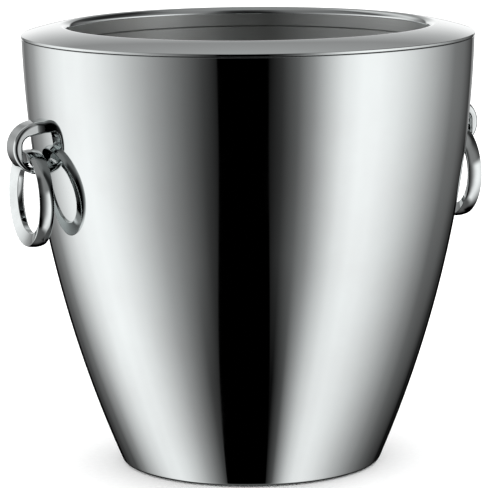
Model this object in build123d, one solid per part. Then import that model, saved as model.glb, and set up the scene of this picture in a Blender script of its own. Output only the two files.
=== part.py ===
from build123d import *

import os
from math import cos, hypot, radians, sin, sqrt

# Double-walled champagne bucket, in millimetres.
# +Z is up and z = 0 is the surface it stands on. The two ring handles hang at -X and +X.

# Outer shell, a tapered pressing with one long gentle curve from base to rim
foot_lift = 0.6              # the rubber pad holds the steel this far off the table
body_height = 211.0          # steel underside to the rim's outer edge
base_radius = 63.4
rim_radius = 110.0
rim_setback = 0.2            # the rim stands this far proud of the shell
wall_arc_radius = 574.0
sheet = 0.9
base_corner = 2.2
base_flange_radius = 46.0
top_flange_radius = 103.0

# Rim, a pressed ring that climbs gently inward and rolls down into the mouth
rim_sheet = 1.0
rim_lip = 1.2                # height of the rim's outer edge face
rim_rise = 4.3               # outer edge to the top of the roll
rim_roll = 3.3
rim_top_slope = 8.0          # degrees, where the crown meets the roll
rim_hem_radius = 104.0
mouth_radius = 87.7
skirt_depth = 5.0
seal_thickness = 0.4
seal_setback = 0.35

# Inner liner
liner_floor_height = 12.0
liner_floor_radius = 57.0
liner_corner = 12.0
liner_arc_radius = 640.0
joggle_drop = 0.8
lap_gap = 0.05
lap_height = 4.9

# Base
base_plate_radius = 54.0
base_plate_thickness = 1.0
pad_inner_radius = 38.0
pad_outer_radius = 45.0
support_radius = 40.0

# Handle bracket, a round-nosed lug on the wall with an eye through it for the ring
bracket_drop = 50.1          # rim's outer edge down to the middle of the bracket
bracket_reach = 16.2
bracket_height = 25.2
bracket_width = 13.1
leg_straight = 3.0           # the lug's top and bottom run straight this far, then curve round the nose
eye_reach = 11.65
eye_floor = 8.9              # below the middle of the bracket
eye_ceiling = 5.2            # above it at the nose
eye_ceiling_at_wall = 7.2
eye_floor_shoulder = 5.5
eye_ceiling_shoulder = 4.5
bracket_edge = 0.7
eye_edge = 1.2
bracket_root = 8.0           # each lug is drawn this far into the wall, then cut to the wall's curve

# Ring handle, wedge-shaped in section with a crowned outside
ring_inner_radius = 16.9
ring_edge_radius = 22.7
ring_crown_radius = 23.4
ring_outer_width = 7.6
ring_inner_width = 2.6
ring_edge_round = 0.35
ring_standoff = 6.0          # wall to the plane in which the ring hangs
ring_drop = 24.25            # middle of the bracket down to the middle of the ring

# Fixings, two machine screws to each bracket
screw_radius = 1.25
screw_fit = 0.03
screw_clearance = 1.4
screw_depth = 5.0
head_radius = 2.5
head_height = 2.0
washer_radius = 3.0
washer_thickness = 0.6
recess_radius = 1.1
recess_depth = 1.1
block_width = 18.0
block_height = 35.0
block_least_thickness = 1.5
block_gap = 0.02             # a film of sealant between the block and the shell

# Levels and radii that follow from the sizes above
rim_level = foot_lift + body_height
shell_top = rim_level - rim_lip - seal_thickness
bracket_level = rim_level - bracket_drop
skirt_bottom = rim_level - skirt_depth
ring_level = bracket_level - ring_drop
screw_offset = (bracket_height / 2 + eye_floor) / 2


class Bow:
    # A circular arc of a section, from its foot to its head, bulging away from the axis.
    def __init__(self, foot, head, arc_radius):
        run, rise = head[0] - foot[0], head[1] - foot[1]
        chord = hypot(run, rise)
        reach = sqrt(arc_radius**2 - chord**2 / 4)
        self.arc_radius = arc_radius
        self.centre_r = (foot[0] + head[0]) / 2 - reach * rise / chord
        self.centre_z = (foot[1] + head[1]) / 2 + reach * run / chord

    def radius_at(self, level, inset=0.0):
        return self.centre_r + sqrt((self.arc_radius - inset) ** 2 - (level - self.centre_z) ** 2)

    def line(self, low, high, inset=0.0):
        levels = (low, (low + high) / 2, high)
        return ThreePointArc(*[(self.radius_at(z, inset), z) for z in levels])

    def point(self, level, inset=0.0):
        return (self.radius_at(level, inset), level)


wall = Bow((base_radius, foot_lift), (rim_radius - rim_setback, rim_level), wall_arc_radius)
liner_wall = Bow((liner_floor_radius, liner_floor_height), (mouth_radius, skirt_bottom), liner_arc_radius)
bracket_wall_radius = wall.radius_at(bracket_level)


def section(*edges):
    return make_face(Curve() + list(edges))


def nearest(face, point):
    return sorted(face.vertices(), key=lambda v: (v.center() - Vector(*point)).length)[0]


def rounded(face, *corners):
    # Each corner is a point of the section and the radius that it gets.
    for point, radius in corners:
        face = fillet(nearest(face, point), radius)
    return face


def turned(face):
    return revolve(Plane.XZ * face, Axis.Z)


def tube(low, high, inner_radius, outer_radius):
    return turned(section(Polyline(
        (inner_radius, low), (outer_radius, low), (outer_radius, high), (inner_radius, high), close=True)))


def disc(low, high, radius):
    return Pos(0, 0, low) * Cylinder(radius, high - low, align=(Align.CENTER, Align.CENTER, Align.MIN))


def rod(radius, near_x, far_x, level):
    # A round bar along X, from near_x out to far_x.
    lying = Pos(near_x, 0, level) * Rot(0, 90, 0)
    return lying * Cylinder(radius, far_x - near_x, align=(Align.CENTER, Align.CENTER, Align.MIN))


def solid_of_wall(inset=0.0):
    # Everything inside the outer wall, less an inset.
    low, high = foot_lift, rim_level
    face = section(
        wall.line(low, high, inset),
        Polyline(wall.point(high, inset), (0, high), (0, low), wall.point(low, inset)),
    )
    return turned(face)


def mirrored(part, side):
    return part if side > 0 else mirror(part, Plane.YZ)


def both_legs():
    return (bracket_level - screw_offset, bracket_level + screw_offset)


def make_outer_shell():
    floor_top = foot_lift + sheet
    flange_under = shell_top - sheet
    face = section(
        wall.line(foot_lift, shell_top),
        Polyline(
            wall.point(shell_top),
            (top_flange_radius, shell_top),
            (top_flange_radius, flange_under),
            wall.point(flange_under, sheet),
        ),
        wall.line(floor_top, flange_under, sheet),
        Polyline(
            wall.point(floor_top, sheet),
            (base_flange_radius, floor_top),
            (base_flange_radius, foot_lift),
            wall.point(foot_lift),
        ),
    )
    face = rounded(
        face,
        (wall.point(foot_lift), base_corner),
        (wall.point(floor_top, sheet), base_corner - sheet),
        (wall.point(shell_top), 0.3),
    )
    shell = turned(face)
    for side in (-1, 1):
        for level in both_legs():
            shell -= mirrored(rod(screw_clearance, 90, 130, level), side)
    return shell


def make_rim_ring():
    roll_level = rim_level + rim_rise - rim_roll
    roll_centre = (mouth_radius + rim_roll, roll_level)
    inner_roll = rim_roll - rim_sheet
    slope = radians(rim_top_slope)

    def on_roll(radius, angle):
        # A point of the roll, the angle counted from straight up towards the mouth.
        return (roll_centre[0] - radius * sin(angle), roll_centre[1] + radius * cos(angle))

    crown_end = on_roll(rim_roll, -slope)
    under_end = on_roll(inner_roll, -slope)
    outer_edge = (rim_radius, rim_level)
    crown = TangentArc(crown_end, outer_edge, tangent=(cos(slope), -sin(slope)))
    hem_top = (rim_hem_radius, rim_level + 0.55)
    face = section(
        crown,
        Polyline(
            outer_edge,
            (rim_radius, rim_level - rim_lip),
            (rim_hem_radius, rim_level - rim_lip),
            hem_top,
        ),
        TangentArc(under_end, hem_top, tangent=(cos(slope), -sin(slope))),
        ThreePointArc(under_end, on_roll(inner_roll, radians(45)), on_roll(inner_roll, radians(90))),
        Polyline(
            on_roll(inner_roll, radians(90)),
            (mouth_radius + rim_sheet, skirt_bottom),
            (mouth_radius, skirt_bottom),
            on_roll(rim_roll, radians(90)),
        ),
        ThreePointArc(on_roll(rim_roll, radians(90)), on_roll(rim_roll, radians(45)), crown_end),
    )
    face = rounded(face, (outer_edge, 0.3), ((rim_radius, rim_level - rim_lip), 0.2))
    return turned(face)


def make_rim_seal():
    low = shell_top
    return tube(low, low + seal_thickness, rim_hem_radius + 0.5, rim_radius - rim_setback - seal_setback)


def make_inner_liner():
    joggle_low = skirt_bottom - joggle_drop
    lap_radius = mouth_radius + rim_sheet + lap_gap
    lap_top = skirt_bottom + lap_height
    floor_under = liner_floor_height - sheet
    joggle_under = joggle_low - sheet / 3
    face = section(
        liner_wall.line(liner_floor_height, joggle_low),
        Polyline(
            liner_wall.point(joggle_low),
            (lap_radius, skirt_bottom - 0.1),
            (lap_radius, lap_top),
            (lap_radius + sheet, lap_top),
            (lap_radius + sheet, skirt_bottom - 0.1 - sheet / 3),
            liner_wall.point(joggle_under, -sheet),
        ),
        liner_wall.line(floor_under, joggle_under, -sheet),
        Polyline(
            liner_wall.point(floor_under, -sheet),
            (0, floor_under),
            (0, liner_floor_height),
            liner_wall.point(liner_floor_height),
        ),
    )
    face = rounded(
        face,
        (liner_wall.point(liner_floor_height), liner_corner),
        (liner_wall.point(floor_under, -sheet), liner_corner + sheet),
    )
    return turned(face)


def make_base_plate():
    low = foot_lift + sheet
    return disc(low, low + base_plate_thickness, base_plate_radius)


def make_base_pad():
    pad = tube(0, foot_lift + sheet, pad_inner_radius, pad_outer_radius)
    return fillet(pad.edges().group_by(Axis.Z)[0], 0.4)


def make_liner_support():
    low = foot_lift + sheet + base_plate_thickness
    pad = disc(low, liner_floor_height - sheet, support_radius)
    return fillet(pad.edges(), 1.0)


def side_edges(body, root, wanted):
    # Edges of the lug's two flat sides, away from its root, picked by reach and by height off the middle.
    picked = []
    for edge in body.faces().filter_by(Axis.Y).edges():
        middle = edge.position_at(0.5)
        if abs(middle.X - root) > 0.01 and wanted(middle.X, middle.Z - bracket_level):
            picked.append(edge)
    return picked


def make_bracket(side):
    root = bracket_wall_radius - bracket_root
    half = bracket_height / 2
    bend = bracket_wall_radius + leg_straight
    lug = section(
        Polyline((bend, bracket_level + half), (root, bracket_level + half),
                 (root, bracket_level - half), (bend, bracket_level - half)),
        EllipticalCenterArc((bend, bracket_level), bracket_reach - leg_straight, half, -90, arc_size=180),
    )
    eye_nose = bracket_wall_radius + eye_reach
    # The ceiling's line is carried on at its own slope, from the wall back to the root.
    ceiling_slope = (eye_ceiling_at_wall - eye_ceiling) / eye_reach
    root_ceiling = eye_ceiling_at_wall + ceiling_slope * bracket_root
    eye = section(Polyline(
        (root, bracket_level - eye_floor),
        (eye_nose, bracket_level - eye_floor),
        (eye_nose, bracket_level + eye_ceiling),
        (root, bracket_level + root_ceiling),
        close=True,
    ))
    eye = rounded(
        eye,
        ((eye_nose, bracket_level - eye_floor), eye_floor_shoulder),
        ((eye_nose, bracket_level + eye_ceiling), eye_ceiling_shoulder),
    )
    body = extrude(Plane.XZ * (lug - eye), bracket_width / 2, both=True)

    def on_eye(reach, rise):
        return reach < eye_nose + 0.1 and -eye_floor - 0.1 < rise < root_ceiling + 0.1

    # The eye's edges are softer than the outer ones, because the ring rubs there.
    body = fillet(side_edges(body, root, on_eye), eye_edge)

    def on_outline(reach, rise):
        return reach > eye_nose + eye_edge + 0.1 or abs(rise) > half - 0.1

    body = fillet(side_edges(body, root, on_outline), bracket_edge)
    body -= solid_of_wall()
    for level in both_legs():
        near = wall.radius_at(level) - 3
        body -= rod(screw_radius + screw_fit, near, near + 3 + screw_depth, level)
    return mirrored(body, side)


def make_ring(side):
    outer = ring_outer_width / 2
    inner = ring_inner_width / 2
    face = section(
        Polyline((-outer, ring_edge_radius), (-inner, ring_inner_radius),
                 (inner, ring_inner_radius), (outer, ring_edge_radius)),
        ThreePointArc((outer, ring_edge_radius), (0, ring_crown_radius), (-outer, ring_edge_radius)),
    )
    face = fillet(face.vertices(), ring_edge_round)
    ring = revolve(Plane.XY * face, Axis.X)
    return mirrored(Pos(bracket_wall_radius + ring_standoff, 0, ring_level) * ring, side)


def block_face_x():
    # The flat inner face of the backing block, just inside the narrowest part of the wall behind it.
    narrowest = wall.radius_at(bracket_level - block_height / 2, sheet)
    return sqrt(narrowest**2 - (block_width / 2) ** 2) - block_least_thickness


def make_backing_block(side):
    near = block_face_x()
    box = Pos(near, 0, bracket_level) * Box(
        20, block_width, block_height, align=(Align.MIN, Align.CENTER, Align.CENTER))
    box = fillet(box.edges().filter_by(Axis.X), 4)
    block = box & solid_of_wall(sheet + block_gap)
    for level in both_legs():
        block -= rod(screw_clearance, near - 1, near + 20, level)
    return mirrored(block, side)


def make_washers(side):
    far = block_face_x()
    near = far - washer_thickness
    rings = []
    for level in both_legs():
        rings.append(rod(washer_radius, near, far, level) - rod(screw_clearance, near - 1, far + 1, level))
    return mirrored(Compound(children=rings), side)


def make_screws(side):
    under_head = block_face_x() - washer_thickness
    screws = []
    for level in both_legs():
        tip = wall.radius_at(level) + screw_depth - 1
        head = rod(head_radius, under_head - head_height, under_head, level)
        head = fillet(head.edges().sort_by(Axis.X)[0], 0.6)
        screw = head + rod(screw_radius, under_head - 0.1, tip, level)
        tool_recess = Pos(under_head - head_height, 0, level) * Rot(0, 90, 0) * extrude(
            RegularPolygon(recess_radius, 6), recess_depth)
        screws.append(screw - tool_recess)
    return mirrored(Compound(children=screws), side)


nodes = {
    "outer_shell": make_outer_shell(),
    "rim_ring": make_rim_ring(),
    "rim_seal": make_rim_seal(),
    "inner_liner": make_inner_liner(),
    "base_plate": make_base_plate(),
    "base_pad_ring": make_base_pad(),
    "liner_support_pad": make_liner_support(),
}
for side, name in ((-1, "left"), (1, "right")):
    nodes[name + "_handle_bracket"] = make_bracket(side)
    nodes[name + "_handle_ring"] = make_ring(side)
    nodes[name + "_backing_block"] = make_backing_block(side)
    nodes[name + "_lock_washers"] = make_washers(side)
    nodes[name + "_bracket_screws"] = make_screws(side)

os.makedirs("parts", exist_ok=True)
for name, shape in nodes.items():
    export_step(shape, "parts/" + name + ".step")
    box = shape.bounding_box()
    print(name, len(shape.solids()), "solids, volume", round(shape.volume), "mm3, top", round(box.max.Z, 1))
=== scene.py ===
from math import atan2, cos, hypot, pi, radians, sin, sqrt, tan

import bmesh
import bpy
from mathutils import Matrix, Vector


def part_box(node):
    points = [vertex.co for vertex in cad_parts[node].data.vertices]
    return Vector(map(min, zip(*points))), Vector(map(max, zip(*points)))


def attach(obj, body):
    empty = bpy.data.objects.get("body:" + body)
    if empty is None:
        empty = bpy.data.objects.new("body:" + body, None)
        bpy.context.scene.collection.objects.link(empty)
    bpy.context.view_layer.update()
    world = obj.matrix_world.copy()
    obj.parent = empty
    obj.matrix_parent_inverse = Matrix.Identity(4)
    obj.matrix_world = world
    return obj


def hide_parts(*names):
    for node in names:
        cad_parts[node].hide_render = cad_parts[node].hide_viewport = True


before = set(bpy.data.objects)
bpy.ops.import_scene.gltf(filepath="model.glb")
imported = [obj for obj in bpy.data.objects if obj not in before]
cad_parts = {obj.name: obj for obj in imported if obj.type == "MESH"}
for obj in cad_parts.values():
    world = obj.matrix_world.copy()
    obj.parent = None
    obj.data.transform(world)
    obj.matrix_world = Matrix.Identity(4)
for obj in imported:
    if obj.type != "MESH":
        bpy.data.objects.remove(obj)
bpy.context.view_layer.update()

# Double-walled champagne bucket. Sizes in the dictionaries are millimetres, and the scene is in metres.
mm = 0.001
print("frame loaded:", len(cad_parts), "nodes")


def boxMm(node):
    low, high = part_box(node)
    return low / mm, high / mm


shellLow, shellHigh = boxMm("outer_shell")
rimLow, rimHigh = boxMm("rim_ring")
linerLow, linerHigh = boxMm("inner_liner")
bracketLow, bracketHigh = boxMm("right_handle_bracket")
ringLow, ringHigh = boxMm("right_handle_ring")
padLow, padHigh = boxMm("base_pad_ring")


# ---- outlines and turned shapes

def straight(*points):
    return [(point, None, 1) for point in points]


def arc(end, centre, steps):
    return [(end, centre, steps)]


def bowCentre(foot, head, radius):
    # middle of the circle through foot and head that bulges away from the axis
    run, rise = head[0] - foot[0], head[1] - foot[1]
    chord = sqrt(run**2 + rise**2)
    reach = sqrt(radius**2 - chord**2 / 4)
    return ((foot[0] + head[0]) / 2 - reach * rise / chord, (foot[1] + head[1]) / 2 + reach * run / chord)


def bowPoint(centre, radius, level):
    return (centre[0] + sqrt(radius**2 - (level - centre[1])**2), level)


def tangentCentre(start, heading, end):
    # middle of the circle that leaves start along heading and reaches end
    across = (heading[1], -heading[0])
    gap = (end[0] - start[0], end[1] - start[1])
    radius = (gap[0]**2 + gap[1]**2) / (2 * (gap[0] * across[0] + gap[1] * across[1]))
    return (start[0] + across[0] * radius, start[1] + across[1] * radius)


def flatPoint(point):
    return Vector((point[0], 0, point[1])) * mm


def drawOutline(bm, moves, closed=True):
    # a wire in the XZ plane: each move is an end, the middle of its arc or None, and the arc's steps
    first = last = bm.verts.new(flatPoint(moves[0][0]))
    for end, centre, steps in moves[1:]:
        if centre is None:
            reached = bm.verts.new(flatPoint(end))
            bm.edges.new((last, reached))
        else:
            middle = flatPoint(centre)
            before, after = last.co - middle, flatPoint(end) - middle
            turn = atan2(before.z, before.x) - atan2(after.z, after.x)
            turn = (turn + pi) % (2 * pi) - pi
            swept = bmesh.ops.spin(bm, geom=[last], cent=middle, axis=(0, 1, 0), angle=turn, steps=steps)
            reached = [v for v in swept["geom_last"] if isinstance(v, bmesh.types.BMVert)][0]
        last = reached
    if closed:
        bm.edges.new((last, first))


def roundCorners(bm, corners, segments):
    # each corner is a point of the outline and the radius that it gets
    for point, radius in corners:
        corner = min(bm.verts, key=lambda v: (v.co - flatPoint(point)).length)
        ways = [(e.other_vert(corner).co - corner.co).normalized() for e in corner.link_edges]
        turn = pi - ways[0].angle(ways[1])
        bmesh.ops.bevel(bm, geom=[corner], offset=radius * mm * tan(turn / 2), offset_type="OFFSET",
                        segments=segments, profile=0.5, affect="VERTICES", material=-1)


def spinOutline(bm, segments, centre=(0, 0, 0), axis=(0, 0, 1)):
    wire = bm.verts[:] + bm.edges[:]
    bmesh.ops.spin(bm, geom=wire, cent=centre, axis=axis, angle=2 * pi, steps=segments, use_merge=True)


def makePiece(name, bm, material, body, replaced, sharpAngle=35):
    bmesh.ops.remove_doubles(bm, verts=bm.verts[:], dist=0.000001)
    bmesh.ops.recalc_face_normals(bm, faces=bm.faces[:])
    mesh = bpy.data.meshes.new(name)
    bm.to_mesh(mesh)
    bm.free()
    mesh.shade_smooth()
    mesh.set_sharp_from_angle(angle=radians(sharpAngle))
    mesh.materials.append(material)
    piece = bpy.data.objects.new(name, mesh)
    bpy.context.scene.collection.objects.link(piece)
    evenShading = piece.modifiers.new("even_shading", "WEIGHTED_NORMAL")
    evenShading.keep_sharp = True
    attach(piece, body)
    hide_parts(*replaced)
    return piece


# ---- materials

def hexToLinear(code):
    values = [int(code[i:i + 2], 16) / 255 for i in (1, 3, 5)]
    linear = [v / 12.92 if v <= 0.04045 else ((v + 0.055) / 1.055)**2.4 for v in values]
    return (*linear, 1.0)


def addNode(tree, kind, settings=None, links=None):
    node = tree.nodes.new(kind)
    for key, value in (settings or {}).items():
        if isinstance(key, str) and hasattr(node, key):
            setattr(node, key, value)
        else:
            node.inputs[key].default_value = value
    for key, source in (links or {}).items():
        tree.links.new(source, node.inputs[key])
    return node


def fillRamp(node, stops, interpolation="LINEAR"):
    # stops run from 0 to 1, each with a grey level or a hex colour
    ramp = node.color_ramp
    ramp.interpolation = interpolation
    while len(ramp.elements) < len(stops):
        ramp.elements.new(1.0)
    for element, (place, level) in zip(ramp.elements, stops):
        element.position = place
        element.color = hexToLinear(level) if isinstance(level, str) else (level, level, level, 1)
    return node


def startMaterial(name):
    material = bpy.data.materials.new(name)
    material.use_nodes = True
    tree = material.node_tree
    shader = tree.nodes["Principled BSDF"]
    place = addNode(tree, "ShaderNodeTexCoord").outputs["Object"]
    return material, tree, shader, place


def linkFinish(tree, shader, colour, roughness, height, depthMm, strength, under=None):
    # colour and roughness patterns go to the shader, and a height pattern of depthMm makes its bump,
    # which lies on the bump under it where there is one
    links = {"Height": height} if under is None else {"Height": height, "Normal": under}
    bump = addNode(tree, "ShaderNodeBump", {"Strength": strength, "Distance": depthMm * mm}, links)
    tree.links.new(colour, shader.inputs["Base Color"])
    tree.links.new(roughness, shader.inputs["Roughness"])
    tree.links.new(bump.outputs["Normal"], shader.inputs["Normal"])


def roundTheAxis(tree, place, stretch):
    # a place whose rings about the bucket's axis stay fine while along each ring it is stretched out
    parts = addNode(tree, "ShaderNodeSeparateXYZ", links={0: place})
    flat = addNode(tree, "ShaderNodeCombineXYZ", links={0: parts.outputs[0], 1: parts.outputs[1]})
    reach = addNode(tree, "ShaderNodeVectorMath", {"operation": "LENGTH"}, {0: flat.outputs[0]})
    along = addNode(tree, "ShaderNodeMath", {"operation": "SUBTRACT"},
                    {0: parts.outputs[2], 1: reach.outputs["Value"]})
    slow = addNode(tree, "ShaderNodeVectorMath", {"operation": "SCALE", "Scale": 1 / stretch}, {0: flat.outputs[0]})
    slowParts = addNode(tree, "ShaderNodeSeparateXYZ", links={0: slow.outputs[0]})
    return addNode(tree, "ShaderNodeCombineXYZ", links={
        0: slowParts.outputs[0], 1: slowParts.outputs[1], 2: along.outputs[0]}).outputs[0]


mirrorSteel = {
    "name": "stainless_steel_mirror_polished",
    "colour": "#d9dddd", "hazeColour": "#d6d9d9", "roughness": 0.03, "hazeRoughness": 0.08,
    "pressingWave": 46.0, "pressingDepth": 0.01, "pressingStrength": 0.35,
    "buffLine": 0.9,         # buffing marks are finer than this, and are drawn coarse enough to show
    "buffStretch": 60.0, "buffDepth": 0.0002, "buffStrength": 0.3, "buffSpread": 0.4,
    "hazePatch": 38.0,
}


def makeMirrorSteel(values):
    # Stainless steel, pressed and mirror polished: reflections stay crisp, with the faint waviness of a pressing,
    # hairline buffing marks round the body, and a soft haze where it has been wiped.
    material, tree, shader, place = startMaterial(values["name"])
    shader.inputs["Metallic"].default_value = 1.0
    haze = addNode(tree, "ShaderNodeTexNoise",
                   {"Scale": 1 / (values["hazePatch"] * mm), "Detail": 4.0, "Roughness": 0.6}, {"Vector": place})
    hazeMask = fillRamp(addNode(tree, "ShaderNodeValToRGB", links={0: haze.outputs["Fac"]}),
                        [(0.42, 0.0), (0.75, 1.0)])
    colour = addNode(tree, "ShaderNodeMix", {"data_type": "RGBA", 6: hexToLinear(values["colour"]),
                                             7: hexToLinear(values["hazeColour"])}, {0: hazeMask.outputs[0]})
    rings = roundTheAxis(tree, place, values["buffStretch"])
    buff = addNode(tree, "ShaderNodeTexNoise",
                   {"Scale": 1 / (values["buffLine"] * mm), "Detail": 3.0, "Roughness": 0.7}, {"Vector": rings})
    buffRoughness = addNode(tree, "ShaderNodeMapRange", {
        "From Min": 0.3, "From Max": 0.7,
        "To Min": values["roughness"] * (1 - values["buffSpread"]),
        "To Max": values["roughness"] * (1 + values["buffSpread"])}, {"Value": buff.outputs["Fac"]})
    roughness = addNode(tree, "ShaderNodeMapRange", {"To Max": values["hazeRoughness"]},
                        {"Value": hazeMask.outputs[0], "To Min": buffRoughness.outputs[0]})
    wave = addNode(tree, "ShaderNodeTexNoise",
                   {"Scale": 1 / (values["pressingWave"] * mm), "Detail": 0.0}, {"Vector": place})
    pressing = addNode(tree, "ShaderNodeBump",
                       {"Strength": values["pressingStrength"], "Distance": values["pressingDepth"] * mm},
                       {"Height": wave.outputs["Fac"]})
    linkFinish(tree, shader, colour.outputs[2], roughness.outputs[0], buff.outputs["Fac"], values["buffDepth"],
               values["buffStrength"], pressing.outputs["Normal"])
    return material


satinSteel = {
    "name": "stainless_steel_spun_satin",
    "colour": "#e2e4e3", "lineColour": "#d2d4d3", "roughness": 0.34, "roughnessSpread": 0.05,
    "grainLine": 0.55,       # abrasive lines are finer than this, and are drawn coarse enough to show
    "grainStretch": 90.0, "grainDepth": 0.002, "grainStrength": 0.5, "anisotropy": 0.95,
    "stainPatch": 55.0, "stainColour": "#d0cfcb",
}


def makeSatinSteel(values):
    # Stainless steel, spun and satin finished with abrasive: fine rings round the axis spread every reflection
    # up and down, and faint water marks vary its tone.
    material, tree, shader, place = startMaterial(values["name"])
    shader.inputs["Metallic"].default_value = 1.0
    shader.inputs["Anisotropic"].default_value = values["anisotropy"]
    rings = roundTheAxis(tree, place, values["grainStretch"])
    grain = addNode(tree, "ShaderNodeTexNoise",
                    {"Scale": 1 / (values["grainLine"] * mm), "Detail": 5.0, "Roughness": 0.75}, {"Vector": rings})
    stain = addNode(tree, "ShaderNodeTexNoise",
                    {"Scale": 1 / (values["stainPatch"] * mm), "Detail": 6.0, "Roughness": 0.55, "Distortion": 0.6},
                    {"Vector": place})
    stainMask = fillRamp(addNode(tree, "ShaderNodeValToRGB", links={0: stain.outputs["Fac"]}),
                         [(0.5, 0.0), (0.78, 0.5)])
    lined = addNode(tree, "ShaderNodeMix", {"data_type": "RGBA", 6: hexToLinear(values["lineColour"]),
                                            7: hexToLinear(values["colour"])}, {0: grain.outputs["Fac"]})
    colour = addNode(tree, "ShaderNodeMix", {"data_type": "RGBA", 7: hexToLinear(values["stainColour"])},
                     {0: stainMask.outputs[0], 6: lined.outputs[2]})
    roughness = addNode(tree, "ShaderNodeMapRange", {
        "From Min": 0.3, "From Max": 0.7,
        "To Min": values["roughness"] - values["roughnessSpread"],
        "To Max": values["roughness"] + values["roughnessSpread"]}, {"Value": grain.outputs["Fac"]})
    # across the rings: up the wall, and outward over the floor
    parts = addNode(tree, "ShaderNodeSeparateXYZ", links={0: place})
    outward = addNode(tree, "ShaderNodeCombineXYZ", links={0: parts.outputs[0], 1: parts.outputs[1]})
    outward = addNode(tree, "ShaderNodeVectorMath", {"operation": "NORMALIZE"}, {0: outward.outputs[0]})
    across = addNode(tree, "ShaderNodeVectorMath", {"operation": "ADD", 1: (0, 0, 1)}, {0: outward.outputs[0]})
    tree.links.new(across.outputs[0], shader.inputs["Tangent"])
    linkFinish(tree, shader, colour.outputs[2], roughness.outputs[0], grain.outputs["Fac"], values["grainDepth"],
               values["grainStrength"])
    return material


castSteel = {
    "name": "stainless_steel_cast_polished",
    "colour": "#d8dcdc", "wornColour": "#c6c9c9", "roughness": 0.03, "roughnessSpread": 0.035,
    "moundSize": 7.0, "moundDepth": 0.012, "moundStrength": 0.4, "rubToMound": 1.7,
    "polishLine": 0.6, "polishDepth": 0.0004, "polishStrength": 0.3,
}


def makeCastSteel(values):
    # Stainless steel, investment cast and hand polished: nearly a mirror, with soft mounds left by the polishing
    # wheel and a slightly duller bloom in patches where hands and the bracket rub it.
    material, tree, shader, place = startMaterial(values["name"])
    shader.inputs["Metallic"].default_value = 1.0
    mounds = addNode(tree, "ShaderNodeTexNoise",
                     {"Scale": 1 / (values["moundSize"] * mm), "Detail": 1.0}, {"Vector": place})
    rub = addNode(tree, "ShaderNodeTexNoise",
                  {"Scale": 1 / (values["moundSize"] * values["rubToMound"] * mm), "Detail": 5.0, "Roughness": 0.7},
                  {"Vector": place})
    rubMask = fillRamp(addNode(tree, "ShaderNodeValToRGB", links={0: rub.outputs["Fac"]}),
                       [(0.48, 0.0), (0.8, 1.0)])
    colour = addNode(tree, "ShaderNodeMix", {"data_type": "RGBA", 6: hexToLinear(values["colour"]),
                                             7: hexToLinear(values["wornColour"])}, {0: rubMask.outputs[0]})
    roughness = addNode(tree, "ShaderNodeMapRange", {
        "To Min": values["roughness"], "To Max": values["roughness"] + values["roughnessSpread"]},
        {"Value": rubMask.outputs[0]})
    lines = addNode(tree, "ShaderNodeTexNoise",
                    {"Scale": 1 / (values["polishLine"] * mm), "Detail": 3.0}, {"Vector": place})
    mound = addNode(tree, "ShaderNodeBump",
                    {"Strength": values["moundStrength"], "Distance": values["moundDepth"] * mm},
                    {"Height": mounds.outputs["Fac"]})
    linkFinish(tree, shader, colour.outputs[2], roughness.outputs[0], lines.outputs["Fac"], values["polishDepth"],
               values["polishStrength"], mound.outputs["Normal"])
    return material


def makeGrainy(name, colours, metallic, roughness, grainMm, depthMm, specular=0.5):
    # one fine grain for the small and hidden parts: moulded, die cast, turned or foamed
    material, tree, shader, place = startMaterial(name)
    shader.inputs["Metallic"].default_value = metallic
    shader.inputs["Specular IOR Level"].default_value = specular
    grain = addNode(tree, "ShaderNodeTexNoise",
                    {"Scale": 1 / (grainMm * mm), "Detail": 6.0, "Roughness": 0.65}, {"Vector": place})
    colour = fillRamp(addNode(tree, "ShaderNodeValToRGB", links={0: grain.outputs["Fac"]}),
                      [(0.3, colours[0]), (0.7, colours[1])])
    rough = addNode(tree, "ShaderNodeMapRange", {
        "From Min": 0.3, "From Max": 0.7, "To Min": roughness[0], "To Max": roughness[1]},
        {"Value": grain.outputs["Fac"]})
    linkFinish(tree, shader, colour.outputs[0], rough.outputs[0], grain.outputs["Fac"], depthMm, 0.6)
    return material


mirrorSteelMaterial = makeMirrorSteel(mirrorSteel)
rimSteelMaterial = makeMirrorSteel(dict(mirrorSteel, name="stainless_steel_rolled_polished", buffLine=0.7))
satinSteelMaterial = makeSatinSteel(satinSteel)
castSteelMaterial = makeCastSteel(castSteel)
# Stainless sheet, blanked and left as rolled: plain grey with a short soft grain.
baseMaterial = makeGrainy("stainless_steel_mill_finish", ("#9b9da0", "#b2b3b5"), 1.0, (0.28, 0.42), 1.1, 0.01)
# Stainless wire, cold headed and thread rolled: bright but uneven.
screwMaterial = makeGrainy("stainless_steel_cold_headed", ("#a3a4a6", "#bcbdbf"), 1.0, (0.2, 0.34), 0.8, 0.01)
# Aluminium, die cast: pale grey and slightly pebbled from the mould.
blockMaterial = makeGrainy("aluminium_die_cast", ("#a5a6a8", "#bfc0c2"), 1.0, (0.35, 0.5), 1.6, 0.03)
# Silicone rubber, cured black: soft sheen with almost no grain.
sealMaterial = makeGrainy("silicone_rubber_cured", ("#0b0b0c", "#17181a"), 0.0, (0.42, 0.55), 0.9, 0.01)
# Natural rubber, compression moulded: dull black with a fine mould texture and a dusty bloom.
padMaterial = makeGrainy("natural_rubber_moulded", ("#141415", "#232325"), 0.0, (0.6, 0.78), 0.7, 0.03)
# Polyethylene foam, closed cell: dark grey with fine cells.
foamMaterial = makeGrainy("polyethylene_foam_closed_cell", ("#1f2022", "#34363a"), 0.0, (0.8, 0.95), 1.3, 0.2)
print("materials made:", len(bpy.data.materials))


# ---- outer shell, a tapered pressing with one long gentle bow

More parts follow.
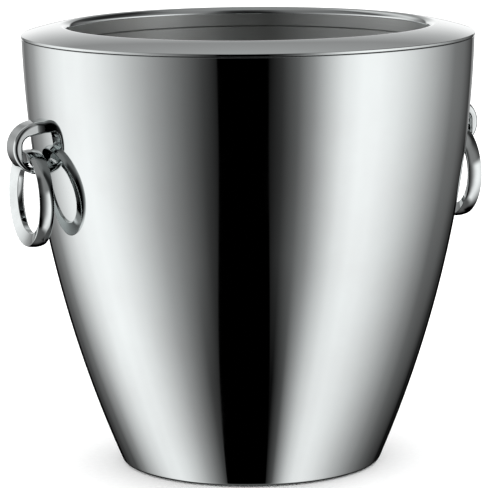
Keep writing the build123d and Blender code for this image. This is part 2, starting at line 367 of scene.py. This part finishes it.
shell = {
    "footLift": 0.6, "baseRadius": 63.4, "rimSetback": 0.2, "bowRadius": 574.0, "sheet": 0.9,
    "baseCorner": 2.2, "baseFlangeRadius": 46.0, "topFlangeRadius": 103.0, "topCorner": 0.3,
    "wallSteps": 84, "insideSteps": 24, "baseCornerSteps": 10, "insideCornerSteps": 4, "topCornerSteps": 3,
    "segments": 288,
}
rim = {
    "lip": 1.2, "rise": 4.3, "roll": 3.3, "sheet": 1.0, "crownSlope": 8.0, "hemRadius": 104.0,
    "mouthRadius": 87.7, "skirtDepth": 5.0, "hemThickness": 0.55, "edgeRound": 0.3, "lipRound": 0.2,
    "rollSteps": 20, "crownSteps": 20, "underRollSteps": 8, "underCrownSteps": 6, "edgeSteps": 5, "lipSteps": 3,
    "segments": 320,
}
rimRadius = rimHigh.x
rimLevel = rimHigh.z - rim["rise"]
wallFoot = (shell["baseRadius"], shell["footLift"])
wallHead = (rimRadius - shell["rimSetback"], rimLevel)
wallCentre = bowCentre(wallFoot, wallHead, shell["bowRadius"])


def wallPoint(level, inset=0.0):
    return bowPoint(wallCentre, shell["bowRadius"] - inset, level)


def makeShell():
    foot, top, sheet = shell["footLift"], shellHigh.z, shell["sheet"]
    floorTop, flangeUnder = foot + sheet, top - sheet
    bm = bmesh.new()
    drawOutline(
        bm,
        straight(wallFoot)
        + arc(wallPoint(top), wallCentre, shell["wallSteps"])
        + straight((shell["topFlangeRadius"], top), (shell["topFlangeRadius"], flangeUnder),
                   wallPoint(flangeUnder, sheet))
        + arc(wallPoint(floorTop, sheet), wallCentre, shell["insideSteps"])
        + straight((shell["baseFlangeRadius"], floorTop), (shell["baseFlangeRadius"], foot)))
    roundCorners(bm, [(wallFoot, shell["baseCorner"])], shell["baseCornerSteps"])
    roundCorners(bm, [(wallPoint(floorTop, sheet), shell["baseCorner"] - sheet)], shell["insideCornerSteps"])
    roundCorners(bm, [(wallPoint(top), shell["topCorner"])], shell["topCornerSteps"])
    spinOutline(bm, shell["segments"])
    return makePiece("polished_shell", bm, mirrorSteelMaterial, "bucket", ["outer_shell"])


def makeRim():
    top, roll, sheet = rimHigh.z, rim["roll"], rim["sheet"]
    mouth, hem = rim["mouthRadius"], rim["hemRadius"]
    middle = (mouth + roll, top - roll)
    slope = radians(rim["crownSlope"])
    heading = (cos(slope), -sin(slope))
    skirtBottom = rimLevel - rim["skirtDepth"]
    lipBottom = rimLevel - rim["lip"]

    def onRoll(radius):
        return (middle[0] + radius * sin(slope), middle[1] + radius * cos(slope))

    outerEdge = (rimRadius, rimLevel)
    hemTop = (hem, rimLevel + rim["hemThickness"])
    crownEnd, underEnd = onRoll(roll), onRoll(roll - sheet)
    bm = bmesh.new()
    drawOutline(
        bm,
        straight((mouth, skirtBottom), (mouth, middle[1]))
        + arc(crownEnd, middle, rim["rollSteps"])
        + arc(outerEdge, tangentCentre(crownEnd, heading, outerEdge), rim["crownSteps"])
        + straight((rimRadius, lipBottom), (hem, lipBottom), hemTop)
        + arc(underEnd, tangentCentre(underEnd, heading, hemTop), rim["underCrownSteps"])
        + arc((mouth + sheet, middle[1]), middle, rim["underRollSteps"])
        + straight((mouth + sheet, skirtBottom)))
    roundCorners(bm, [(outerEdge, rim["edgeRound"])], rim["edgeSteps"])
    roundCorners(bm, [((rimRadius, lipBottom), rim["lipRound"])], rim["lipSteps"])
    spinOutline(bm, rim["segments"])
    piece = makePiece("rolled_rim", bm, rimSteelMaterial, "bucket", ["rim_ring"])
    # below its roll the skirt is satin finished with the liner that it meets
    piece.data.materials.append(satinSteelMaterial)
    for face in piece.data.polygons:
        reach = sqrt(face.center.x**2 + face.center.y**2) / mm
        if face.center.z / mm < middle[1] and reach < mouth + sheet / 2:
            face.material_index = 1
    return piece


# ---- inner liner, spun in one piece and lapped up behind the rim's skirt

liner = {
    "floorRadius": 57.0, "corner": 12.0, "bowRadius": 640.0, "sheet": 0.9, "joggle": 0.8, "gap": 0.05,
    "lapStep": 0.1, "flatFloor": 0.7, "wallSteps": 60, "outsideSteps": 24, "cornerSteps": 14,
    "outsideCornerSteps": 8, "segments": 256,
}


def makeLiner():
    floorUnder, lapTop, sheet = linerLow.z, linerHigh.z, liner["sheet"]
    floor = floorUnder + sheet
    skirtBottom = rimLevel - rim["skirtDepth"]
    lapRadius = rim["mouthRadius"] + rim["sheet"] + liner["gap"]
    foot, head = (liner["floorRadius"], floor), (rim["mouthRadius"], skirtBottom)
    centre = bowCentre(foot, head, liner["bowRadius"])

    def inside(level, outset=0.0):
        return bowPoint(centre, liner["bowRadius"] + outset, level)

    joggleLow = skirtBottom - liner["joggle"]
    lapLow = skirtBottom - liner["lapStep"]
    bm = bmesh.new()
    drawOutline(
        bm,
        straight((0, floor), (liner["floorRadius"] * liner["flatFloor"], floor), foot)
        + arc(inside(joggleLow), centre, liner["wallSteps"])
        + straight((lapRadius, lapLow), (lapRadius, lapTop), (lapRadius + sheet, lapTop),
                   (lapRadius + sheet, lapLow - sheet / 3), inside(joggleLow - sheet / 3, sheet))
        + arc(inside(floorUnder, sheet), centre, liner["outsideSteps"])
        + straight((0, floorUnder)),
        closed=False)
    roundCorners(bm, [(foot, liner["corner"])], liner["cornerSteps"])
    roundCorners(bm, [(inside(floorUnder, sheet), liner["corner"] + sheet)], liner["outsideCornerSteps"])
    spinOutline(bm, liner["segments"])
    return makePiece("spun_liner", bm, satinSteelMaterial, "bucket", ["inner_liner"])


# ---- rubber ring that the bucket stands on

pad = {
    "innerRadius": 38.0, "footRound": 0.4, "footRoundSteps": 5, "grooveHalfWidth": 1.0, "grooveDepth": 0.15,
    "segments": 160,
}


def makePad():
    bottom, top = padLow.z, padHigh.z
    inner, outer = pad["innerRadius"], padHigh.x
    groove, halfWidth = (inner + outer) / 2, pad["grooveHalfWidth"]
    bm = bmesh.new()
    drawOutline(
        bm,
        straight((inner, top), (outer, top), (outer, bottom), (groove + halfWidth, bottom),
                 (groove, bottom + pad["grooveDepth"]), (groove - halfWidth, bottom), (inner, bottom)))
    footCorners = [((outer, bottom), pad["footRound"]), ((inner, bottom), pad["footRound"])]
    roundCorners(bm, footCorners, pad["footRoundSteps"])
    spinOutline(bm, pad["segments"])
    return makePiece("rubber_foot_ring", bm, padMaterial, "bucket", ["base_pad_ring"])


makeShell()
makeRim()
makeLiner()
makePad()
print("turned pieces made")


# ---- handle brackets, round-nosed lugs on the wall with an eye through each for its ring

bracket = {
    "legStraight": 3.0, "noseSteps": 56, "shoulderSteps": 14, "edgeSteps": 9, "eyeEdgeSteps": 6,
    "eyeReach": 11.65, "eyeFloor": 8.9, "eyeCeiling": 5.2, "eyeCeilingAtWall": 7.2,
    "floorShoulder": 5.5, "ceilingShoulder": 4.5,
    "edge": 1.9,             # softer than the plain lug's, as hand polishing leaves it
    "eyeEdge": 1.2,
    "seat": 0.25,            # the legs' flat ends start this far inside the curved wall, so no gap shows
    "sharpAngle": 50,
}


def makeBracket(side, name, node):
    nose, width = bracketHigh.x, bracketHigh.y - bracketLow.y
    level = (bracketLow.z + bracketHigh.z) / 2
    half = (bracketHigh.z - bracketLow.z) / 2
    wallReach = wallPoint(level)[0]
    bend, eyeNose = wallReach + bracket["legStraight"], wallReach + bracket["eyeReach"]
    ceilingSlope = (bracket["eyeCeilingAtWall"] - bracket["eyeCeiling"]) / bracket["eyeReach"]

    def root(rise):
        return (wallPoint(level + rise)[0] - bracket["seat"], level + rise)

    def noseCurve():
        turns = [pi / 2 - pi * step / bracket["noseSteps"] for step in range(bracket["noseSteps"] + 1)]
        return [(bend + (nose - bend) * cos(turn), level + half * sin(turn)) for turn in turns]

    eyeTop, eyeBottom = level + bracket["eyeCeiling"], level - bracket["eyeFloor"]
    ceilingRise = bracket["eyeCeilingAtWall"]
    ceilingRoot = root(ceilingRise)
    ceilingRoot = (ceilingRoot[0], eyeTop + ceilingSlope * (eyeNose - ceilingRoot[0]))
    bm = bmesh.new()
    drawOutline(bm, straight(root(half), *noseCurve(), root(-half), root(-bracket["eyeFloor"]),
                             (eyeNose, eyeBottom), (eyeNose, eyeTop), ceilingRoot))
    roundCorners(bm, [((eyeNose, eyeBottom), bracket["floorShoulder"])], bracket["shoulderSteps"])
    roundCorners(bm, [((eyeNose, eyeTop), bracket["ceilingShoulder"])], bracket["shoulderSteps"])
    face = bmesh.ops.contextual_create(bm, geom=bm.edges[:])["faces"]
    bmesh.ops.translate(bm, verts=bm.verts[:], vec=(0, -width / 2 * mm, 0))
    pushed = bmesh.ops.extrude_face_region(bm, geom=face)["geom"]
    bmesh.ops.translate(bm, verts=[v for v in pushed if isinstance(v, bmesh.types.BMVert)], vec=(0, width * mm, 0))
    bmesh.ops.recalc_face_normals(bm, faces=bm.faces[:])
    slack = 0.1

    def sideEdges(wanted):
        # edges between a flat side and a face square to it, clear of the wall, where wanted says so
        picked = []
        for edge in bm.edges:
            leans = sorted(abs(face.normal.y) for face in edge.link_faces)
            middle = (edge.verts[0].co + edge.verts[1].co) / 2 / mm
            atRoot = all(v.co.x / mm < wallPoint(v.co.z / mm)[0] for v in edge.verts)
            square = leans[0] < 0.1 and leans[-1] > 0.99
            if square and not atRoot and wanted(middle.x, middle.z - level):
                picked.append(edge)
        return picked

    def onEye(reach, rise):
        return reach < eyeNose + slack and -bracket["eyeFloor"] - slack < rise < ceilingRise + 3 * slack

    def onOutline(reach, rise):
        onNose = reach > bend and hypot((reach - bend) / (nose - bend), rise / half) > 0.97
        return onNose or abs(rise) > half - slack

    bmesh.ops.bevel(bm, geom=sideEdges(onEye), offset=bracket["eyeEdge"] * mm, offset_type="OFFSET",
                    segments=bracket["eyeEdgeSteps"], profile=0.5, affect="EDGES", material=-1)
    bmesh.ops.bevel(bm, geom=sideEdges(onOutline), offset=bracket["edge"] * mm, offset_type="OFFSET",
                    segments=bracket["edgeSteps"], profile=0.5, affect="EDGES", material=-1)
    if side < 0:
        bmesh.ops.scale(bm, vec=(-1, 1, 1), verts=bm.verts[:])
    return makePiece(name, bm, castSteelMaterial, "bucket", [node], bracket["sharpAngle"])


# ---- ring handles, wedge-shaped in section with a crowned outside

ring = {
    "innerRadius": 16.9, "edgeRadius": 22.7, "outerWidth": 7.6, "innerWidth": 2.6, "edgeRound": 0.35,
    "crownSteps": 18, "edgeRoundSteps": 5, "segments": 192,
}


def makeRing(side, name, node, body):
    centreX, centreZ = (ringLow.x + ringHigh.x) / 2, (ringLow.z + ringHigh.z) / 2
    crownRadius = (ringHigh.z - ringLow.z) / 2
    outer, inner = ring["outerWidth"] / 2, ring["innerWidth"] / 2
    rise = crownRadius - ring["edgeRadius"]
    bend = (outer**2 + rise**2) / (2 * rise)

    def section(across, radius):
        return (centreX + across, centreZ + radius)

    corners = [section(-outer, ring["edgeRadius"]), section(outer, ring["edgeRadius"]),
               section(inner, ring["innerRadius"]), section(-inner, ring["innerRadius"])]
    bm = bmesh.new()
    drawOutline(
        bm,
        straight(corners[0])
        + arc(corners[1], section(0, crownRadius - bend), ring["crownSteps"])
        + straight(corners[2], corners[3]))
    roundCorners(bm, [(corner, ring["edgeRound"]) for corner in corners], ring["edgeRoundSteps"])
    spinOutline(bm, ring["segments"], flatPoint((centreX, centreZ)), (1, 0, 0))
    if side < 0:
        bmesh.ops.scale(bm, vec=(-1, 1, 1), verts=bm.verts[:])
    return makePiece(name, bm, castSteelMaterial, body, [node])


for side, word in ((-1, "left"), (1, "right")):
    makeBracket(side, word + "_strap_eye", word + "_handle_bracket")
    makeRing(side, word + "_pull_ring", word + "_handle_ring", word + "_ring")
print("handles made")


# ---- small and inner parts keep their shape and get their finish

partFinishes = {
    "base_plate": baseMaterial, "rim_seal": sealMaterial, "liner_support_pad": foamMaterial,
    "left_backing_block": blockMaterial, "right_backing_block": blockMaterial,
    "left_lock_washers": screwMaterial, "right_lock_washers": screwMaterial,
    "left_bracket_screws": screwMaterial, "right_bracket_screws": screwMaterial,
}
for node, material in partFinishes.items():
    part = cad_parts[node]
    part.data.materials.clear()
    part.data.materials.append(material)
print("inner parts finished")


# ---- camera

# Angles are degrees, the rest are millimetres. Roll, yaw and pitch are the small turns of a hand-set camera.
camera = {
    "azimuth": -22.8, "elevation": 9.45, "distance": 1460.4, "targetHeight": 106.05, "lens": 219.4,
    "roll": -0.476, "yaw": 0.138, "pitch": 0.04,
}


def makeCamera():
    azimuth, elevation = radians(camera["azimuth"]), radians(camera["elevation"])
    away = Vector((sin(azimuth) * cos(elevation), -cos(azimuth) * cos(elevation), sin(elevation)))
    right = Vector((cos(azimuth), sin(azimuth), 0))
    up = away.cross(right)
    aim = Matrix((right, up, away)).transposed()
    aim = aim @ Matrix.Rotation(radians(camera["yaw"]), 3, "Y") @ Matrix.Rotation(radians(camera["pitch"]), 3, "X")
    aim = aim @ Matrix.Rotation(radians(camera["roll"]), 3, "Z")
    data = bpy.data.cameras.new("camera")
    data.lens = camera["lens"]
    data.sensor_width = 36.0
    data.clip_end = 50.0
    eye = bpy.data.objects.new("camera", data)
    place = (Vector((0, 0, camera["targetHeight"])) + away * camera["distance"]) * mm
    eye.matrix_world = Matrix.Translation(place) @ aim.to_4x4()
    bpy.context.scene.collection.objects.link(eye)
    bpy.context.scene.camera = eye


makeCamera()


# ---- floor and studio

# The studio is a ring of soft walls, given by degrees round from the camera's side and by height.
studio = {
    "background": 1.0, "fill": 2.0,
    # height of the light above eye level as a sine, then its levels round the studio
    "walls": [
        (-0.16, [(-180, 0.308), (-166, 0.111), (-152, 0.242), (-140, 0.436), (-128, 0.825), (-117, 1.083),
              (-106, 1.228), (-95, 1.253), (-84, 1.14), (-73, 0.93), (-62, 0.687), (-51, 0.464),
              (-41, 0.294), (-32, 0.169), (-23, 0.067), (-13, 0), (9, 0), (17, 0.042), (25, 0.14),
              (33, 0.353), (41, 0.713), (50, 1.079), (60, 1.267), (70, 1.257), (81, 1.113), (92, 0.907),
              (104, 0.67), (116, 0.437), (129, 0.238), (142, 0.182), (156, 0.064), (180, 0)]),
        (-0.33, [(-180, 0.14), (-166, 0), (-152, 0.077), (-140, 0.246), (-128, 0.708), (-117, 1.079),
              (-106, 1.256), (-95, 1.286), (-84, 1.18), (-73, 0.973), (-62, 0.717), (-51, 0.462),
              (-41, 0.285), (-32, 0.156), (-23, 0.059), (-13, 0), (9, 0.005), (17, 0.037), (25, 0.128),
              (33, 0.357), (41, 0.716), (50, 1.098), (60, 1.272), (70, 1.251), (81, 1.081), (92, 0.858),
              (104, 0.6), (116, 0.368), (129, 0.164), (142, 0.112), (156, 0.001), (180, 0.097)]),
        (-0.52, [(-180, 0), (-166, 0), (-152, 0), (-140, 0.049), (-128, 0.326), (-117, 0.785), (-106, 1.144),
              (-95, 1.274), (-84, 1.19), (-73, 0.979), (-62, 0.713), (-51, 0.449), (-41, 0.275),
              (-32, 0.152), (-23, 0.046), (-13, 0), (9, 0), (17, 0.043), (25, 0.141), (33, 0.336),
              (41, 0.676), (50, 1.028), (60, 1.197), (70, 1.162), (81, 0.989), (92, 0.764), (104, 0.507),
              (116, 0.286), (129, 0.139), (142, 0.043), (156, 0), (180, 0)]),
        (-0.72, [(-180, 0), (-166, 0), (-152, 0), (-140, 0), (-128, 0.101), (-117, 0.382), (-106, 0.779),
              (-95, 1.077), (-84, 1.132), (-73, 0.967), (-62, 0.711), (-51, 0.423), (-41, 0.218),
              (-32, 0.065), (-23, 0.021), (-13, 0), (9, 0.008), (17, 0.005), (25, 0.092), (33, 0.431),
              (41, 0.801), (50, 1.065), (60, 1.128), (70, 1.034), (81, 0.856), (92, 0.626), (104, 0.404),
              (116, 0.225), (129, 0.079), (142, 0), (156, 0), (180, 0)]),
    ],
    "highWalls": [(-180, 0.1), (-156, 0.4), (-140, 0.9), (-122, 0.6), (-101, 0.1), (-79, 0.21), (-43, 0.21),
                  (-35, 0.2), (-27, 0.16), (-19, 0.085), (-9, 0.04), (2, 0.025), (12, 0.047), (20, 0.1),
                  (28, 0.24), (34, 0.275), (57, 0.275), (70, 0.22), (86, 0.11), (97, 0.06), (110, 0.036),
                  (125, 0.015), (180, 0.1)],
    "highFrom": 10.0, "highFull": 24.0,
    # the bright sweep behind the bucket, by degrees above eye level
    "backSweep": [(-90, 0.12), (-64, 0.12), (-46, 0.0), (-9.2, 0.0), (-7.5, 0.34), (-3, 0.4), (1, 1.1), (6, 1.02),
                  (9, 0.89), (13, 0.7), (17, 0.54), (21, 0.44), (26, 0.33), (36, 0.4), (46, 0.48), (56, 0.3),
                  (68, 0.32), (90, 0.32)],
    "sweepHalfWidth": 16.0, "sweepSoftness": 1.4,
    # the height in degrees where each begins, where it is full, and its level
    "overhead": (50, 70, 0.32), "underfoot": (-60, -76, 0.12),
    "gapLeft": -15.4, "gapRight": 10.1, "gapLeftFlare": 2.7, "gapRightFlare": 2.0, "gapEdge": 0.5,
    "gapFlareFrom": 0.24,
}


def makeFloor():
    bm = bmesh.new()
    bmesh.ops.create_grid(bm, x_segments=1, y_segments=1, size=6.0)
    mesh = bpy.data.meshes.new("floor")
    bm.to_mesh(mesh)
    bm.free()
    # Seamless studio paper, matt coated: an even white with a trace of fibre.
    material, tree, shader, place = startMaterial("paper_matt_coated")
    fibre = addNode(tree, "ShaderNodeTexNoise", {"Scale": 1 / (2.5 * mm), "Detail": 4.0}, {"Vector": place})
    tone = fillRamp(addNode(tree, "ShaderNodeValToRGB", links={0: fibre.outputs["Fac"]}),
                    [(0.3, "#f1f1f1"), (0.7, "#f5f5f5")])
    shader.inputs["Roughness"].default_value = 0.9
    shader.inputs["Specular IOR Level"].default_value = 0.0
    tree.links.new(tone.outputs[0], shader.inputs["Base Color"])
    mesh.materials.append(material)
    floor = bpy.data.objects.new("floor", mesh)
    floor.visible_glossy = False
    bpy.context.scene.collection.objects.link(floor)


def makeStudio():
    world = bpy.data.worlds.new("studio")
    bpy.context.scene.world = world
    world.use_nodes = True
    tree = world.node_tree
    background = tree.nodes["Background"]

    def wallLight(place, stops, turn):
        # the light along a turn of so many degrees, with zero in its middle
        places = [((angle + turn / 2) / turn, level) for angle, level in stops]
        return fillRamp(addNode(tree, "ShaderNodeValToRGB", links={0: place}), places).outputs[0]

    heading = addNode(tree, "ShaderNodeTexCoord").outputs["Generated"]
    turned = addNode(tree, "ShaderNodeVectorRotate",
                     {"rotation_type": "Z_AXIS", "Angle": -radians(camera["azimuth"])}, {"Vector": heading})
    parts = addNode(tree, "ShaderNodeSeparateXYZ", links={0: turned.outputs[0]})
    height = parts.outputs[2]
    nearness = addNode(tree, "ShaderNodeMath", {"operation": "MULTIPLY", 1: -1.0}, {0: parts.outputs[1]})
    angle = addNode(tree, "ShaderNodeMath", {"operation": "ARCTAN2"},
                    {0: parts.outputs[0], 1: nearness.outputs[0]}).outputs[0]
    around = addNode(tree, "ShaderNodeMath", {"operation": "MULTIPLY_ADD", 1: 0.5 / pi, 2: 0.5},
                     {0: angle}).outputs[0]
    rise = addNode(tree, "ShaderNodeMath", {"operation": "ARCSINE"}, {0: height})
    upDown = addNode(tree, "ShaderNodeMath", {"operation": "MULTIPLY_ADD", 1: 1 / pi, 2: 0.5},
                     {0: rise.outputs[0]}).outputs[0]

    # the walls below eye level, from one height to the next
    topHeight, topStops = studio["walls"][0]
    walls = wallLight(around, topStops, 360)
    for lowHeight, stops in studio["walls"][1:]:
        lower = wallLight(around, stops, 360)
        step = addNode(tree, "ShaderNodeMapRange", {"From Min": topHeight, "From Max": lowHeight}, {"Value": height})
        walls = addNode(tree, "ShaderNodeMix", {"data_type": "RGBA"},
                        {0: step.outputs[0], 6: walls, 7: lower}).outputs[2]
        topHeight = lowHeight

    # the dark gap that the camera looks through, wider towards the floor
    drop = addNode(tree, "ShaderNodeMath", {"operation": "MULTIPLY_ADD", 1: -1.0, 2: -studio["gapFlareFrom"]},
                   {0: height})
    depth = addNode(tree, "ShaderNodeMath", {"operation": "MAXIMUM", 1: 0.0}, {0: drop.outputs[0]}).outputs[0]
    deepening = addNode(tree, "ShaderNodeMath", {"operation": "MULTIPLY"}, {0: depth, 1: depth}).outputs[0]
    edge = radians(studio["gapEdge"])
    pastEdges = []
    for word, bounds in (("Left", (edge, -edge)), ("Right", (-edge, edge))):
        bearing, widening = radians(studio["gap" + word]), studio["gap" + word + "Flare"]
        flare = addNode(tree, "ShaderNodeMath", {"operation": "MULTIPLY_ADD", 1: widening, 2: 1.0}, {0: deepening})
        limit = addNode(tree, "ShaderNodeMath", {"operation": "MULTIPLY", 1: bearing}, {0: flare.outputs[0]})
        past = addNode(tree, "ShaderNodeMath", {"operation": "SUBTRACT"}, {0: angle, 1: limit.outputs[0]})
        pastEdges.append(addNode(tree, "ShaderNodeMapRange", {
            "interpolation_type": "SMOOTHSTEP", "From Min": bounds[0], "From Max": bounds[1]},
            {"Value": past.outputs[0]}).outputs[0])
    beyond = addNode(tree, "ShaderNodeMath", {"operation": "ADD"}, {0: pastEdges[0], 1: pastEdges[1]})
    walls = addNode(tree, "ShaderNodeMix", {"data_type": "RGBA", "blend_type": "MULTIPLY", 0: 1.0},
                    {6: walls, 7: beyond.outputs[0]}).outputs[2]

    # above eye level, then overhead and underfoot
    raised = addNode(tree, "ShaderNodeMapRange", {
        "interpolation_type": "SMOOTHSTEP", "From Min": sin(radians(studio["highFrom"])),
        "From Max": sin(radians(studio["highFull"]))}, {"Value": height})
    walls = addNode(tree, "ShaderNodeMix", {"data_type": "RGBA"}, {
        0: raised.outputs[0], 6: walls, 7: wallLight(around, studio["highWalls"], 360)}).outputs[2]
    for start, full, level in (studio["overhead"], studio["underfoot"]):
        reached = addNode(tree, "ShaderNodeMapRange", {
            "interpolation_type": "SMOOTHSTEP", "From Min": sin(radians(start)), "From Max": sin(radians(full))},
            {"Value": height})
        walls = addNode(tree, "ShaderNodeMix", {"data_type": "RGBA", 7: (level, level, level, 1)},
                        {0: reached.outputs[0], 6: walls}).outputs[2]

    # the sweep behind the bucket
    behind = addNode(tree, "ShaderNodeMath", {"operation": "ABSOLUTE"}, {0: angle})
    halfWidth = radians(studio["sweepHalfWidth"])
    onSweep = addNode(tree, "ShaderNodeMapRange", {
        "interpolation_type": "SMOOTHSTEP", "From Min": pi - halfWidth * studio["sweepSoftness"],
        "From Max": pi - halfWidth}, {"Value": behind.outputs[0]})
    walls = addNode(tree, "ShaderNodeMix", {"data_type": "RGBA"}, {
        0: onSweep.outputs[0], 6: walls, 7: wallLight(upDown, studio["backSweep"], 180)}).outputs[2]

    # the floor is lit evenly, and the camera sees plain white behind everything
    lightPath = addNode(tree, "ShaderNodeLightPath")
    for ray, strength in (("Is Diffuse Ray", studio["fill"]), ("Is Camera Ray", studio["background"])):
        walls = addNode(tree, "ShaderNodeMix", {"data_type": "RGBA", 7: (strength, strength, strength, 1)},
                        {0: lightPath.outputs[ray], 6: walls}).outputs[2]
    tree.links.new(walls, background.inputs["Color"])


makeFloor()
makeStudio()
bpy.context.scene.view_settings.view_transform = "Standard"
print("studio made")
